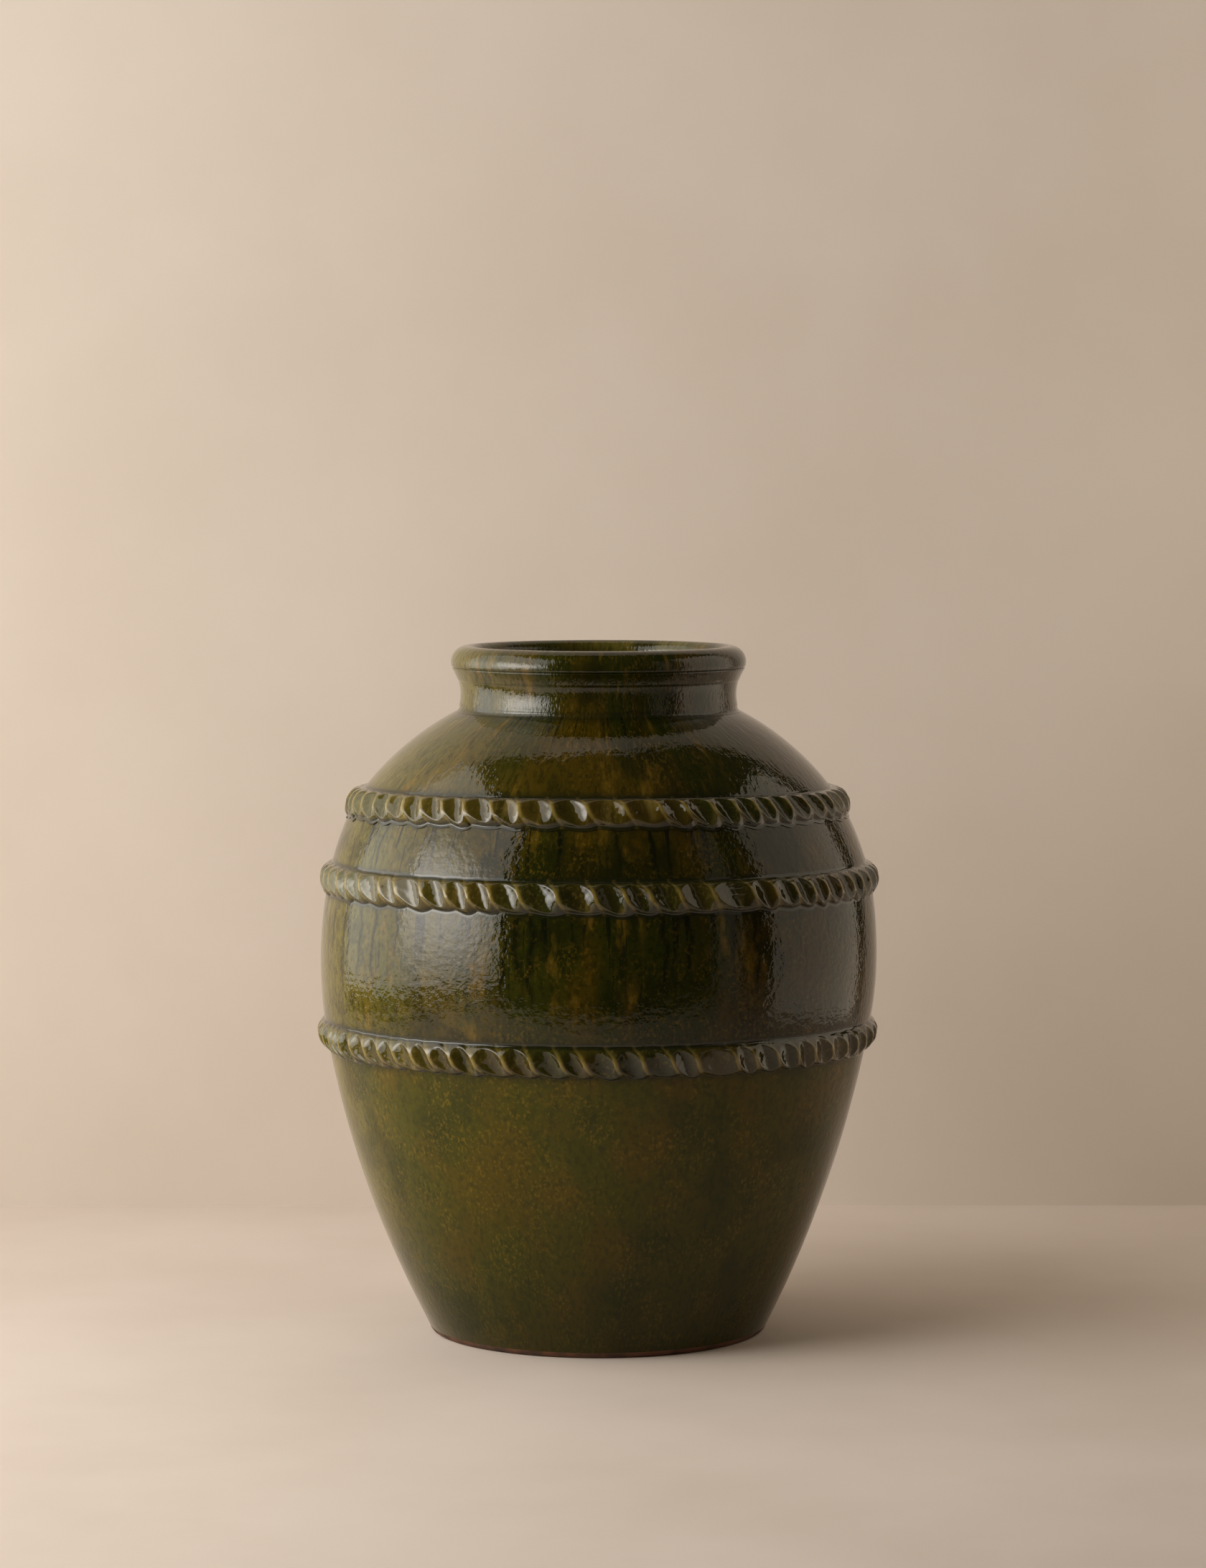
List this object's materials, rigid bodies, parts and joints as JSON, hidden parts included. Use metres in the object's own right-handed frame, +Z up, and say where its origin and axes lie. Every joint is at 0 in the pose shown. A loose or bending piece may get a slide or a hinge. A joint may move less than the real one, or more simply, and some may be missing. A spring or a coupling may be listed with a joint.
{
  "type": "storage jar",
  "caption": "Round bellied ceramic storage jar with a rolled rim, a short neck and rope bands of applied clay over the joints of its wall.",
  "frame": {"origin": "centre of the foot, on the ground plane", "axes": "+Z up through the mouth; the jar is round about Z, and -Y is the side that the picture shows"},
  "size_m": [0.3758, 0.376, 0.46],
  "materials": {
    "wall_glaze": "gloss",
    "rope_glaze": "gloss",
    "bare_clay": "matte"
  },
  "bodies": {
    "root": {"base_slab": "bare_clay", "lower_wall": "wall_glaze", "belly_wall": "wall_glaze", "lower_shoulder": "wall_glaze", "upper_shoulder": "wall_glaze", "neck_collar": "wall_glaze", "rim_roll": "wall_glaze", "lower_rope_band": "rope_glaze", "middle_rope_band": "rope_glaze", "upper_rope_band": "rope_glaze"}
  },
  "joints": []
}
